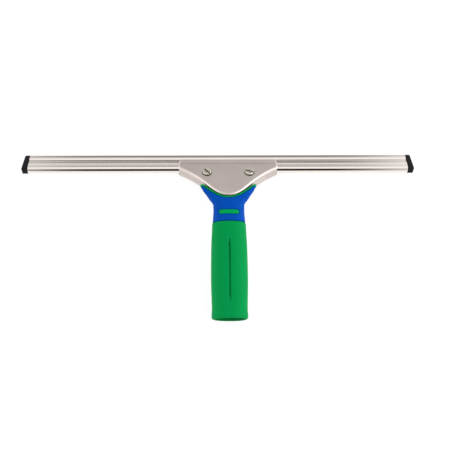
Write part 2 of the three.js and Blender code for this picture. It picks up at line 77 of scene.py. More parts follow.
CHANNEL_TOP = 10.6
CHANNEL_BOTTOM = -7.2
CHANNEL_DEPTH = 7.6
CHANNEL_SHEET = 0.6
CHANNEL_REAR_TOP = 6.3
LIP_RADIUS = 0.9
CHANNEL_CORNER = 3.2
FACE_LEAN = 0.6  # how far the front wall leans back from its lip to the groove
GROOVE_TOP = 5.35
GROOVE_FLOOR = 4.55
GROOVE_BOTTOM = 0.6
GROOVE_DEPTH = 1.45
CREASE_HEIGHT = -0.3
CREASE_DEPTH = 0.3
CREASE_WIDTH = 0.7
HEAD_MIDDLE = -CHANNEL_DEPTH / 2

BLADE_TIP = 13.4
BLADE_THICKNESS = 2.0
BLADE_MIDDLE = -0.53 * CHANNEL_DEPTH
BULB_RADIUS = 2.5
BULB_HEIGHT = -2.2
BULB_NECK = 1.5
BLADE_SHOULDER = 4.4

CLIP_CAP = 4.8
CLIP_INSET = 0.4
CLIP_FOOT = 0.8
CLIP_FOOT_HEIGHT = 3.6
CLIP_FOOT_START = 1.2  # from the channel's end to where the foot starts to swell
CLIP_FOOT_RUN = 2.0
CLIP_FOOT_BLEND = 0.8
CLIP_CORNER = 1.1
CLIP_EDGE = 0.7  # radius of the outer rim
CLIP_BREAK = 0.15
CLIP_FRONT_DROP = 0.2  # from the channel's top down to the cap's front shoulder
CLIP_REAR_DROP = 2.5
CLIP_TIP_FRONT = 0.2  # how far the cap's tip stands out past the blade
CLIP_TIP_REAR = 0.6
CLIP_TONGUE_LENGTH = 12.0
CLIP_TONGUE_HEIGHT = 4.0
CLIP_TONGUE_ROOT = 1.0

JAW_HALF_WIDTH = 45.8
JAW_TOP_HALF_WIDTH = 45.0
JAW_TOP = 4.0
JAW_CORNER = 3.0
JAW_SHOULDER = -7.4
JAW_SHOULDER_SLOPE = 0.45
JAW_SHOULDER_PULL = 7.0
JAW_WAIST = 23.5
JAW_WAIST_HEIGHT = -23.6
JAW_WAIST_SLOPE = 0.95
JAW_WAIST_PULL = 6.0
JAW_BOTTOM = -40.8
JAW_BOTTOM_PULL = 9.5
JAW_SHEET = 1.5
JAW_EDGE_RADIUS = 1.8
JAW_SEAM = 0.3
BAND_BOTTOM = -2.3  # the joggle across the jaw's plate, level with the channel's seat
BAND_RISE = 0.4
JAW_FRONT = TOUCH_GAP + JAW_SHEET
JAW_REAR = -CHANNEL_DEPTH - JAW_FRONT

SCREW_HEIGHT = -13.6
SCREW_HOLE = 4.7
RIM_WALL = 0.9
RIM_RISE = 0.3
WING_TOP = -25.2
WING_CAP = 1.8  # the core covers this much of each wing tip
COLLAR_END = -21.6
COLLAR_WALL = 1.5
BADGE_WIDTH = 18.4
BADGE_HEIGHT = 4.9
BADGE_ALONG = -12.7
BADGE_SEAT = 0.9
BADGE_GAP = 0.45
BORDER_GROOVE = (0.7, 0.9)  # length and depth of the relief where the collar meets the sleeve
RIM_SEAM = 0.7  # between the core's rim and the collar

GRIP_END = -105.2
SLEEVE_WALL = 2.3
SLEEVE_ROLL = 0.9  # length over which the sleeve's end is rolled in
SLEEVE_BREAK = 0.25
CORE_END_INSET = 3.0
SOCKET_DEPTH = 76.0
SOCKET_MOUTH_RADIUS = 10.6
SOCKET_FLOOR_RADIUS = 9.8
SOCKET_FLARE = (0.3, 0.4)  # width and length of the flare at the mouth
SOCKET_CHAMFER = 2.0
GRIP_GROOVE_ENDS = (-94.0, -34.0)
GRIP_GROOVE_RUNOUT = 9.0
GRIP_GROOVE_DEPTH = 1.7
GRIP_GROOVE_WIDTH = 0.75
GRIP_FLANK_DEPTH = 0.28
GRIP_FLANK_WIDTH = 3.2
GRIP_FLANK_MIDDLE = -1.2

# The handle's skin: distance along the centre line, half width, half thickness, squareness.
COLLAR_SKIN = (
    (WING_TOP + HEAD_DATUM, 25.2, 3.4, 3.0),
    (11.9, 22.9, 3.8, 3.0),
    (6.9, 20.0, 4.1, 3.0),
    (1.9, 17.3, 4.7, 3.0),
    (-3.0, 14.2, 6.4, 2.7),
    (-7.0, 13.75, 7.8, 2.5),
    (-12.2, 13.75, 9.2, 2.4),
    (-17.0, 14.1, 10.5, 2.3),
    (COLLAR_END, 14.4, 11.5, 2.3),
)
SLEEVE_SKIN = (
    (COLLAR_END, 14.75, 11.9, 2.3),
    (-30.0, 15.1, 12.9, 2.3),
    (-43.0, 15.65, 14.1, 2.3),
    (-71.0, 15.9, 15.0, 2.3),
    (GRIP_END + 16.5, 15.45, 14.7, 2.3),
    (GRIP_END + 8.5, 15.25, 14.6, 2.3),
    (GRIP_END + 3.0, 15.55, 14.9, 2.3),
    (GRIP_END + SLEEVE_ROLL, 15.3, 14.65, 2.3),
    (GRIP_END, 14.6, 13.95, 2.3),
)

# ---- The two frames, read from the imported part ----

MM = 0.001
RIGHT = Vector((1.0, 0.0, 0.0))
joints = {joint["name"]: joint for joint in frame["joints"]}
mounts = {mount["name"]: mount for mount in frame["record"]["mounts"]}


def flat_frame(up, out, origin):
    """The matrix that carries millimetres in a flat frame to metres in the part's own frame."""
    axes = Matrix((RIGHT, up, out)).transposed().to_4x4()
    return Matrix.Translation(origin) @ axes @ Matrix.Scale(MM, 4)


head_out = Vector(joints["left_screw_turn"]["axis"]).normalized()
head_up = head_out.cross(RIGHT)
screw_places = {
    side: Vector(joints[f"{side}_screw_turn"]["pos_m"]) for side in ("left", "right")
}
screws_middle = (screw_places["left"] + screw_places["right"]) / 2
screw_half_spacing = (screw_places["right"] - screw_places["left"]).x / 2 / MM
head_origin = screws_middle - head_up * SCREW_HEIGHT * MM - head_out * JAW_FRONT * MM
HEAD = flat_frame(head_up, head_out, head_origin)

grip_up = -Vector(mounts["grip_end_ring"]["axis"]).normalized()
grip_out = RIGHT.cross(grip_up)
HANDLE = flat_frame(grip_up, grip_out, HEAD @ Vector((0.0, -HEAD_DATUM, HEAD_MIDDLE)))
HEAD_IN_HANDLE = HANDLE.inverted() @ HEAD

channel_low, channel_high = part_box("channel")
CHANNEL_LEFT = (channel_low[0] - HEAD.translation.x) / MM
CHANNEL_RIGHT = (channel_high[0] - HEAD.translation.x) / MM

# ---- Materials ----


def linear(hex_colour):
    """An sRGB hex colour as the linear colour that a shader takes."""
    channels = [int(hex_colour[i : i + 2], 16) / 255 for i in (1, 3, 5)]
    return [c / 12.92 if c <= 0.04045 else ((c + 0.055) / 1.055) ** 2.4 for c in channels] + [1.0]


def add(tree, kind, links=None, values=None, **settings):
    """Adds one node: settings are its own properties, values its inputs, and links its feeds."""
    node = tree.nodes.new(kind)
    for name, value in settings.items():
        setattr(node, name, value)
    for name, value in (values or {}).items():
        node.inputs[name].default_value = value
    for name, source in (links or {}).items():
        tree.links.new(source, node.inputs[name])
    return node


def finish_named(name, colour, **sockets):
    """A new material whose shader's constants are set on its own sockets."""
    material = bpy.data.materials.new(name)
    material.use_nodes = True
    tree = material.node_tree
    tree.nodes.clear()
    shader = add(tree, "ShaderNodeBsdfPrincipled", values={"Base Color": linear(colour)})
    for socket, value in sockets.items():
        shader.inputs[socket.replace("_", " ")].default_value = value
    add(tree, "ShaderNodeOutputMaterial", links={"Surface": shader.outputs["BSDF"]})
    return material, tree, shader


def pattern(tree, scale, turn=None, detail=3.0, roughness=0.5):
    """Noise on the object's own coordinates: scale is in features for each metre, along x, y, z."""
    place = add(tree, "ShaderNodeTexCoord")
    mapping = add(
        tree,
        "ShaderNodeMapping",
        links={"Vector": place.outputs["Object"]},
        values={"Scale": scale, "Rotation": turn or (0.0, 0.0, 0.0)},
    )
    return add(
        tree,
        "ShaderNodeTexNoise",
        links={"Vector": mapping.outputs["Vector"]},
        values={"Scale": 1.0, "Detail": detail, "Roughness": roughness},
    )


def spread_of(tree, source, low, high, start=0.35, end=0.65):
    """A pattern's values from start to end, spread over low to high."""
    return add(
        tree,
        "ShaderNodeMapRange",
        links={"Value": source},
        values={"From Min": start, "From Max": end, "To Min": low, "To Max": high},
    )


def bump(tree, shader, height, depth, strength=1.0):
    """Feeds a height pattern, depth in millimetres, to the shader's normal."""
    node = add(
        tree,
        "ShaderNodeBump",
        links={"Height": height},
        values={"Distance": depth * MM, "Strength": strength},
    )
    tree.links.new(node.outputs["Normal"], shader.inputs["Normal"])


def tint(tree, shader, factor, dark, light):
    """Varies the base colour between two hex colours."""
    mix = add(
        tree,
        "ShaderNodeMix",
        links={"Factor": factor},
        values={"A": linear(dark), "B": linear(light)},
        data_type="RGBA",
    )
    tree.links.new(mix.outputs["Result"], shader.inputs["Base Color"])


def rolled_stainless():
    """Stainless strip, roll-formed: mirror bright, with long faint drawing lines along it."""
    material, tree, shader = finish_named("rolled_stainless", "#EFE6E0", Metallic=1.0, Roughness=0.1)
    lines = pattern(tree, (6.0, 2500.0, 2500.0), detail=2.0)
    rough = spread_of(tree, lines.outputs["Fac"], 0.06, 0.12)
    tree.links.new(rough.outputs["Result"], shader.inputs["Roughness"])
    waves = pattern(tree, (14.0, 60.0, 60.0), detail=1.0)
    bump(tree, shader, waves.outputs["Fac"], 0.05, 0.6)
    return material


def satin_stainless():
    """Stainless plate, pressed and vibration finished: a soft even grey with a fine grain."""
    material, tree, shader = finish_named("satin_stainless", "#CCC1BB", Metallic=1.0, Roughness=0.4)
    grain = pattern(tree, (2600.0, 2600.0, 2600.0), detail=4.0)
    rough = spread_of(tree, grain.outputs["Fac"], 0.34, 0.46)
    tree.links.new(rough.outputs["Result"], shader.inputs["Roughness"])
    clouds = pattern(tree, (45.0, 70.0, 70.0), detail=2.0)
    tint(tree, shader, clouds.outputs["Fac"], "#C3B8B2", "#D6CCC6")
    bump(tree, shader, grain.outputs["Fac"], 0.01, 0.5)
    return material


def turned_steel():
    """Machine screw steel: bright, with the fine rings that turning leaves."""
    material, tree, shader = finish_named("turned_steel", "#D8D0C2", Metallic=1.0, Roughness=0.25)
    marks = pattern(tree, (1500.0, 1500.0, 1500.0), detail=3.0)
    rough = spread_of(tree, marks.outputs["Fac"], 0.2, 0.36)
    tree.links.new(rough.outputs["Result"], shader.inputs["Roughness"])
    bump(tree, shader, marks.outputs["Fac"], 0.01, 0.5)
    return material


def blackened_steel_and_slot_shade():
    """Washer steel, blackened with hot oxide: dark brown grey with a dull sheen. The same dark steel is
    put in the screws' slots as painted shade.
    """
    material, tree, shader = finish_named("blackened_steel_and_slot_shade", "#4A443F", Metallic=1.0, Roughness=0.45)
    marks = pattern(tree, (1500.0, 1500.0, 1500.0), detail=3.0)
    rough = spread_of(tree, marks.outputs["Fac"], 0.38, 0.55)
    tree.links.new(rough.outputs["Result"], shader.inputs["Roughness"])
    return material


def black_rubber():
    """Natural rubber, extruded and cut: matt black with a dusty bloom."""
    material, tree, shader = finish_named("black_rubber", "#1A1A1B", Roughness=0.7, IOR=1.52)
    bloom = pattern(tree, (40.0, 300.0, 300.0), detail=4.0)
    rough = spread_of(tree, bloom.outputs["Fac"], 0.6, 0.8)
    tree.links.new(rough.outputs["Result"], shader.inputs["Roughness"])
    tint(tree, shader, bloom.outputs["Fac"], "#151516", "#232324")
    bump(tree, shader, bloom.outputs["Fac"], 0.02, 0.4)
    return material


def black_nylon():
    """Nylon, injection moulded: near black, satin, with spark-eroded grain of about 0.3 mm."""
    material, tree, shader = finish_named(
        "black_nylon", "#101013", Roughness=0.45, IOR=1.53, Specular_IOR_Level=0.12
    )
    grain = pattern(tree, (3200.0, 3200.0, 3200.0), detail=2.0)
    rough = spread_of(tree, grain.outputs["Fac"], 0.38, 0.55)
    tree.links.new(rough.outputs["Result"], shader.inputs["Roughness"])
    bump(tree, shader, grain.outputs["Fac"], 0.03, 0.5)
    return material


def blue_polypropylene():
    """Polypropylene, injection moulded: deep blue, satin, faintly cloudy in its gloss."""
    material, tree, shader = finish_named(
        "blue_polypropylene", "#00419F", Roughness=0.38, IOR=1.49, Specular_IOR_Level=0.03
    )
    grain = pattern(tree, (1800.0, 1800.0, 1800.0), detail=2.0)
    clouds = pattern(tree, (120.0, 120.0, 120.0), detail=2.0)
    rough = spread_of(tree, clouds.outputs["Fac"], 0.33, 0.44)
    tree.links.new(rough.outputs["Result"], shader.inputs["Roughness"])
    tint(tree, shader, clouds.outputs["Fac"], "#00409C", "#004AAA")
    bump(tree, shader, grain.outputs["Fac"], 0.012, 0.5)
    return material


def green_polypropylene():
    """Polypropylene, injection moulded: the green core, satin."""
    material, tree, shader = finish_named(
        "green_polypropylene", "#009A50", Roughness=0.42, IOR=1.49, Specular_IOR_Level=0.03
    )
    grain = pattern(tree, (1800.0, 1800.0, 1800.0), detail=2.0)
    rough = spread_of(tree, grain.outputs["Fac"], 0.38, 0.48)
    tree.links.new(rough.outputs["Result"], shader.inputs["Roughness"])
    clouds = pattern(tree, (120.0, 120.0, 120.0), detail=2.0)
    tint(tree, shader, clouds.outputs["Fac"], "#009049", "#009850")
    bump(tree, shader, grain.outputs["Fac"], 0.012, 0.5)
    return material


def green_soft_grip():
    """Thermoplastic rubber, moulded over the core: matt green with a soft bright edge."""
    material, tree, shader = finish_named(
        "green_soft_grip", "#009048", Roughness=0.55, IOR=1.5, Specular_IOR_Level=0.03
    )
    grain = pattern(tree, (1400.0, 1400.0, 1400.0), detail=3.0)
    rough = spread_of(tree, grain.outputs["Fac"], 0.5, 0.62)
    tree.links.new(rough.outputs["Result"], shader.inputs["Roughness"])
    clouds = pattern(tree, (60.0, 60.0, 60.0), detail=2.0)
    tint(tree, shader, clouds.outputs["Fac"], "#008541", "#008E47")
    bump(tree, shader, grain.outputs["Fac"], 0.02, 0.5)
    return material


# ---- Meshes ----

MERGE = 1e-4  # millimetres between points that are one point


def mesh_of(vertices, faces):
    mesh = bpy.data.meshes.new("shape")
    mesh.from_pydata([tuple(v) for v in vertices], [], [tuple(f) for f in faces])
    mesh.validate()
    return mesh


def object_of(name, mesh):
    made = bpy.data.objects.new(name, mesh)
    bpy.context.scene.collection.objects.link(made)
    return made


def skin_over(rings, closed=False):
    """Vertices and faces through rings of points: capped at both ends, or closed into a tube."""
    rings = np.asarray(rings)
    count, size = rings.shape[:2]
    vertices = rings.reshape(-1, 3)
    faces = []
    spans = count if closed else count - 1
    for ring in range(spans):
        near = ring * size
        far = (ring + 1) % count * size
        for i in range(size):
            after = (i + 1) % size
            faces.append((near + i, near + after, far + after, far + i))
    if not closed:
        faces.append(tuple(reversed(range(size))))
        faces.append(tuple(range((count - 1) * size, count * size)))
    return vertices, faces


def outward(mesh, apart=MERGE):
    """Merges points that are no further apart than this, and turns every face outwards."""
    work = bmesh.new()
    work.from_mesh(mesh)
    bmesh.ops.remove_doubles(work, verts=work.verts, dist=apart)
    bmesh.ops.recalc_face_normals(work, faces=work.faces)
    work.to_mesh(mesh)
    work.free()
    return mesh


def solid(vertices, faces):
    return outward(mesh_of(vertices, faces))


def evaluated_mesh(made):
    """A plain mesh of an object as its modifiers leave it."""
    depsgraph = bpy.context.evaluated_depsgraph_get()
    return bpy.data.meshes.new_from_object(made.evaluated_get(depsgraph))


def combined(base, tool, operation):
    """The base mesh with the tool mesh cut from it, joined to it or kept in common with it."""
    target = object_of("target", base)
    cutter = object_of("cutter", tool)
    step = target.modifiers.new("step", "BOOLEAN")
    step.operation = operation
    step.solver = "MANIFOLD"
    step.object = cutter
    result = evaluated_mesh(target)
    bpy.data.objects.remove(target)
    bpy.data.objects.remove(cutter)
    return result


def cut(base, *tools):
    for tool in tools:
        base = combined(base, tool, "DIFFERENCE")
    return base


def moved(mesh, matrix):
    mesh = mesh.copy()
    mesh.transform(matrix)
    return mesh


def block(low, high):
    low, high = np.array(low), np.array(high)
    corners = [(x, y, z) for x in (0, 1) for y in (0, 1) for z in (0, 1)]
    vertices = [low + (high - low) * corner for corner in corners]
    faces = [(0, 1, 3, 2), (4, 6, 7, 5), (0, 4, 5, 1), (2, 3, 7, 6), (0, 2, 6, 4), (1, 5, 7, 3)]
    return solid(vertices, faces)


def slab(outline, low, high):
    """A flat outline in x and y, given depth from low to high."""
    rings = [[(x, y, z) for x, y in outline] for z in (low, high)]
    return solid(*skin_over(rings))


def turned(profile, x=0.0, y=0.0, steps=72):
    """A round solid about a line along z: the profile lists radius and depth, from axis to axis."""
    angles = np.arange(steps) * 2 * math.pi / steps
    rings = []
    for radius, depth in profile:
        ring = [(x + radius * math.cos(a), y + radius * math.sin(a), depth) for a in angles]
        rings.append(ring)
    return solid(*skin_over(rings))


def arc(centre, radius, start, end, steps):
    """Points on a circle, angles in degrees."""
    angles = np.radians(np.linspace(start, end, steps + 1))
    return [(centre[0] + radius * math.cos(a), centre[1] + radius * math.sin(a)) for a in angles]


def bezier(a, b, c, d, steps):
    """Points on a cubic curve, without its last one."""
    a, b, c, d = (np.array(p) for p in (a, b, c, d))
    for t in np.arange(steps) / steps:
        s = 1 - t
        yield tuple(s**3 * a + 3 * s * s * t * b + 3 * s * t * t * c + t**3 * d)


def grown(points, distance):
    """A closed outline, anticlockwise, moved outwards by the distance."""
    points = np.asarray(points, float)
    inward = points - np.roll(points, 1, axis=0)
    outgoing = np.roll(points, -1, axis=0) - points
    inward /= np.linalg.norm(inward, axis=1)[:, None]
    outgoing /= np.linalg.norm(outgoing, axis=1)[:, None]
    normal_in = np.stack([inward[:, 1], -inward[:, 0]], axis=1)
    normal_out = np.stack([outgoing[:, 1], -outgoing[:, 0]], axis=1)
    middle = normal_in + normal_out
    middle /= np.linalg.norm(middle, axis=1)[:, None]
    reach = distance / np.sum(middle * normal_in, axis=1)
    return points + middle * reach[:, None]


def eased(corners, radius, steps=6, closed=False):
    """A line with its corners rounded over: open, or closed into an outline."""
    corners = [np.array(corner, float) for corner in corners]
    count = len(corners)
    points = [] if closed else [tuple(corners[0])]
    for i in range(0 if closed else 1, count if closed else count - 1):
        corner = corners[i]
        into, out = corners[i - 1] - corner, corners[(i + 1) % count] - corner
        reach = min(radius, 0.45 * np.linalg.norm(into), 0.45 * np.linalg.norm(out))
        start = corner + into / np.linalg.norm(into) * reach
        end = corner + out / np.linalg.norm(out) * reach
        for t in np.linspace(0, 1, steps):
            points.append(tuple((1 - t) ** 2 * start + 2 * t * (1 - t) * corner + t * t * end))
    return points if closed else points + [tuple(corners[-1])]


def sheet_outline(line, thickness):
    """A sheet of even thickness that follows a bent line."""
    line = np.asarray(line, float)
    along = np.gradient(line, axis=0)
    along /= np.linalg.norm(along, axis=1)[:, None]
    side = np.stack([-along[:, 1], along[:, 0]], axis=1) * thickness / 2
    return np.concatenate([line + side, (line - side)[::-1]])


def finished(name, mesh, place, body, node, material, sharp=35.0, shade_lining=None):
    """Puts a mesh in the part's frame, and gives the piece its body, its CAD node and its finish.

    The shade lining is a second, darker material that paints shade, and the test for a face's centre
    that tells where it goes."""
    shade_lined = [bool(shade_lining and shade_lining[1](face.center)) for face in mesh.polygons]
    mesh.transform(place)
    mesh.materials.clear()
    mesh.materials.append(material)
    if shade_lining:
        mesh.materials.append(shade_lining[0])
        mesh.polygons.foreach_set("material_index", [int(flag) for flag in shade_lined])
    outward(mesh, MERGE * MM)
    mesh.shade_smooth()
    mesh.set_sharp_from_angle(angle=math.radians(sharp))
    made = object_of(name, mesh)
    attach(made, body)
    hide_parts(node)
    return made


# ---- Geometry Nodes: what runs along a line ----


def node_group(name, inputs):
    """An empty tree with a geometry input, named sizes and a geometry output."""
    group = bpy.data.node_groups.new(name, "GeometryNodeTree")
    face = group.interface
    face.new_socket("Geometry", in_out="INPUT", socket_type="NodeSocketGeometry")
    for label, kind, value in inputs:
        socket = face.new_socket(label, in_out="INPUT", socket_type=kind)
        if value is not None:
            socket.default_value = value
    face.new_socket("Geometry", in_out="OUTPUT", socket_type="NodeSocketGeometry")
    return group


def made_by(group, base, sizes):
    """The plain mesh that a tree makes from a base mesh with these sizes."""
    carrier = object_of("carrier", base)
    step = carrier.modifiers.new("tree", "NODES")
    step.node_group = group
    for item in group.interface.items_tree:
        if item.in_out == "INPUT" and item.name in sizes:
            step[item.identifier] = sizes[item.name]
    result = evaluated_mesh(carrier)
    bpy.data.objects.remove(carrier)
    return result


def drawn_bar_tree():
    """Draws a flat section out along x, and closes its near end."""
    group = node_group(
        "drawn_bar",
        [("Length", "NodeSocketFloat", 100.0), ("Material", "NodeSocketMaterial", None)],
    )
    start = add(group, "NodeGroupInput")
    along = add(group, "ShaderNodeCombineXYZ", links={"X": start.outputs["Length"]})
    drawn = add(
        group,
        "GeometryNodeExtrudeMesh",
        links={"Mesh": start.outputs["Geometry"], "Offset": along.outputs["Vector"]},
        values={"Offset Scale": 1.0, "Individual": False},
        mode="FACES",
    )
    near = add(group, "GeometryNodeFlipFaces", links={"Mesh": start.outputs["Geometry"]})
    both = add(group, "GeometryNodeJoinGeometry", links={"Geometry": drawn.outputs["Mesh"]})
    group.links.new(near.outputs["Mesh"], both.inputs["Geometry"])
    merged = add(
        group,
        "GeometryNodeMergeByDistance",
        links={"Geometry": both.outputs["Geometry"]},
        values={"Distance": MERGE},
    )
    real = add(group, "GeometryNodeRealizeInstances", links={"Geometry": merged.outputs["Geometry"]})
    coated = add(
        group,
        "GeometryNodeSetMaterial",
        links={"Geometry": real.outputs["Geometry"], "Material": start.outputs["Material"]},
    )
    add(group, "NodeGroupOutput", links={"Geometry": coated.outputs["Geometry"]})
    return group


def swept_coil_tree():
    """Sweeps a wire along a helix about z: the screws' threads."""
    group = node_group(
        "swept_coil",
        [
            ("Radius", "NodeSocketFloat", 2.0),
            ("Turns", "NodeSocketFloat", 1.0),
            ("Height", "NodeSocketFloat", 1.0),
            ("Wire Radius", "NodeSocketFloat", 0.3),
            ("Wire Sides", "NodeSocketInt", 4),
            ("Steps", "NodeSocketInt", 32),
            ("Material", "NodeSocketMaterial", None),
        ],
    )
    start = add(group, "NodeGroupInput")
    helix = add(
        group,
        "GeometryNodeCurveSpiral",
        links={
            "Resolution": start.outputs["Steps"],
            "Rotations": start.outputs["Turns"],
            "Start Radius": start.outputs["Radius"],
            "End Radius": start.outputs["Radius"],
            "Height": start.outputs["Height"],
        },
    )
    wire = add(
        group,
        "GeometryNodeCurvePrimitiveCircle",
        links={"Resolution": start.outputs["Wire Sides"], "Radius": start.outputs["Wire Radius"]},
    )
    swept = add(
        group,
        "GeometryNodeCurveToMesh",
        links={"Curve": helix.outputs["Curve"], "Profile Curve": wire.outputs["Curve"]},
        values={"Fill Caps": True},
    )
    real = add(group, "GeometryNodeRealizeInstances", links={"Geometry": swept.outputs["Mesh"]})
    coated = add(
        group,
        "GeometryNodeSetMaterial",
        links={"Geometry": real.outputs["Geometry"], "Material": start.outputs["Material"]},
    )
    add(group, "NodeGroupOutput", links={"Geometry": coated.outputs["Geometry"]})
    return group


def drawn_bar(section, start, end, material):
    """A section in height and depth, drawn along x from start to end."""
    base = mesh_of([(start, y, z) for y, z in section], [tuple(range(len(section)))])
    if base.polygons[0].normal.x < 0:
        base.flip_normals()
    return made_by(bar_tree, base, {"Length": end - start, "Material": material})


# ---- Channel, blade and end clips ----


def channel_line():
    """The middle of the folded strip, from the front lip over the bottom to the rear lip."""
    half = CHANNEL_SHEET / 2
    front = -half
    rear = -CHANNEL_DEPTH + half
    top = CHANNEL_TOP - half
    rear_top = CHANNEL_REAR_TOP - half
    bottom = CHANNEL_BOTTOM + half
    lip = LIP_RADIUS - half
    corner = CHANNEL_CORNER - half
    blade_front = BLADE_MIDDLE + BLADE_THICKNESS / 2
    blade_rear = BLADE_MIDDLE - BLADE_THICKNESS / 2
    low = front - FACE_LEAN
    wall = [
        (top - lip, front),
        (GROOVE_TOP, front - FACE_LEAN),
        (GROOVE_FLOOR, front - GROOVE_DEPTH),
        (GROOVE_BOTTOM, low),
        (CREASE_HEIGHT + CREASE_WIDTH / 2, low),
        (CREASE_HEIGHT, low - CREASE_DEPTH),
        (CREASE_HEIGHT - CREASE_WIDTH / 2, low),
        (bottom + corner, low),
    ]
    line = [(top, blade_front + TOUCH_GAP)]
    line += arc((top - lip, front - lip), lip, 0, 90, 10)[:-1]
    line += eased(wall, 0.25)
    line += arc((bottom + corner, low - corner), corner, 90, 180, 20)[1:]
    line += arc((bottom + corner, rear + corner), corner, 180, 270, 20)
    line += arc((rear_top - lip, rear + lip), lip, 270, 360, 10)
    line += [(rear_top, blade_rear - TOUCH_GAP)]
    return line


def blade_section():
    neck = BULB_NECK / 2
    half = BLADE_THICKNESS / 2
    opening = math.degrees(math.asin(neck / BULB_RADIUS))
    section = [(BLADE_TIP, BLADE_MIDDLE - half), (BLADE_TIP, BLADE_MIDDLE + half)]
    section += [(BLADE_SHOULDER, BLADE_MIDDLE + half), (BLADE_SHOULDER - 1, BLADE_MIDDLE + neck)]
    section += arc((BULB_HEIGHT, BLADE_MIDDLE), BULB_RADIUS, opening, 360 - opening, 40)
    section += [(BLADE_SHOULDER - 1, BLADE_MIDDLE - neck), (BLADE_SHOULDER, BLADE_MIDDLE - half)]
    return section


def clip_profile():
    """The cap's rings: how far each lies past the channel's end, and how far it is drawn in."""
    rim = CLIP_CAP - CLIP_EDGE
    profile = [(TOUCH_GAP, CLIP_BREAK), (TOUCH_GAP + CLIP_BREAK, 0.0)]
    profile += [(reach, 0.0) for reach in np.linspace(CLIP_FOOT_START, rim, 5)]
    for angle in np.radians((20, 40, 60, 75, 90)):
        profile.append((rim + CLIP_EDGE * math.sin(angle), CLIP_EDGE * (1 - math.cos(angle))))
    return profile


def clip_mesh(side):
    """One end clip: a cap with a rounded rim, a foot at the bottom and a tongue for the channel."""
    front = -CLIP_INSET
    rear = -CHANNEL_DEPTH + CLIP_INSET
    lowest = CHANNEL_BOTTOM + CLIP_INSET
    blade_front = BLADE_MIDDLE + BLADE_THICKNESS / 2
    blade_rear = BLADE_MIDDLE - BLADE_THICKNESS / 2
    corners = [
        (lowest, front),
        (CHANNEL_TOP - CLIP_FRONT_DROP, front),
        (BLADE_TIP, blade_front + CLIP_TIP_FRONT),
        (BLADE_TIP, blade_rear - CLIP_TIP_REAR),
        (BLADE_TIP - CLIP_REAR_DROP, rear),
        (lowest, rear),
    ]
    outline = eased(corners[::-1], CLIP_CORNER, closed=True)
    rings = []
    for reach, inset in clip_profile():
        ring = grown(outline, -inset)
        height = ring[:, 0] - lowest
        foot = np.clip((CLIP_FOOT_HEIGHT - height) / CLIP_FOOT_BLEND + 0.5, 0, 1)
        swell = min(1.0, max(0.0, (reach - CLIP_FOOT_START) / CLIP_FOOT_RUN))
        foot = foot * foot * (3 - 2 * foot) * CLIP_FOOT * swell
        rings.append([(side * (reach + f), y, z) for (y, z), f in zip(ring, foot)])
    cap = solid(*skin_over(rings))
    tongue_top = CHANNEL_TOP - LIP_RADIUS - CHANNEL_SHEET
    ends = sorted((side * (TOUCH_GAP + CLIP_TONGUE_ROOT), -side * CLIP_TONGUE_LENGTH))
    tongue = block(
        (ends[0], tongue_top - CLIP_TONGUE_HEIGHT, blade_front + TOUCH_GAP),
        (ends[1], tongue_top, -CHANNEL_SHEET - GROOVE_DEPTH - 0.1),
    )
    return combined(cap, tongue, "UNION")


# ---- Jaws ----


def jaw_outline(steps=24):
    waist_reach = JAW_WAIST_PULL * JAW_WAIST_SLOPE
    half = [
        *bezier(
            (0, JAW_BOTTOM),
            (JAW_BOTTOM_PULL, JAW_BOTTOM),
            (JAW_WAIST - JAW_WAIST_PULL, JAW_WAIST_HEIGHT - waist_reach),
            (JAW_WAIST, JAW_WAIST_HEIGHT),
            steps,
        ),
        *bezier(
            (JAW_WAIST, JAW_WAIST_HEIGHT),
            (JAW_WAIST + JAW_WAIST_PULL, JAW_WAIST_HEIGHT + waist_reach),
            (JAW_HALF_WIDTH - JAW_SHOULDER_PULL, JAW_SHOULDER - JAW_SHOULDER_PULL * JAW_SHOULDER_SLOPE),
            (JAW_HALF_WIDTH, JAW_SHOULDER),
            steps,
        ),
    ]
    half = [point for point in half if point[0] < JAW_HALF_WIDTH - 5]
    shoulder = (JAW_HALF_WIDTH, JAW_SHOULDER)
    corner = (JAW_TOP_HALF_WIDTH, JAW_TOP)
    half += eased([half[-1], shoulder, corner], 2.3)[1:-1]
    half += eased([shoulder, corner, (0, JAW_TOP)], JAW_CORNER, 10)[1:-1]
    mirrored = [(-x, y) for x, y in reversed(half)]
    return half + mirrored[:-1]


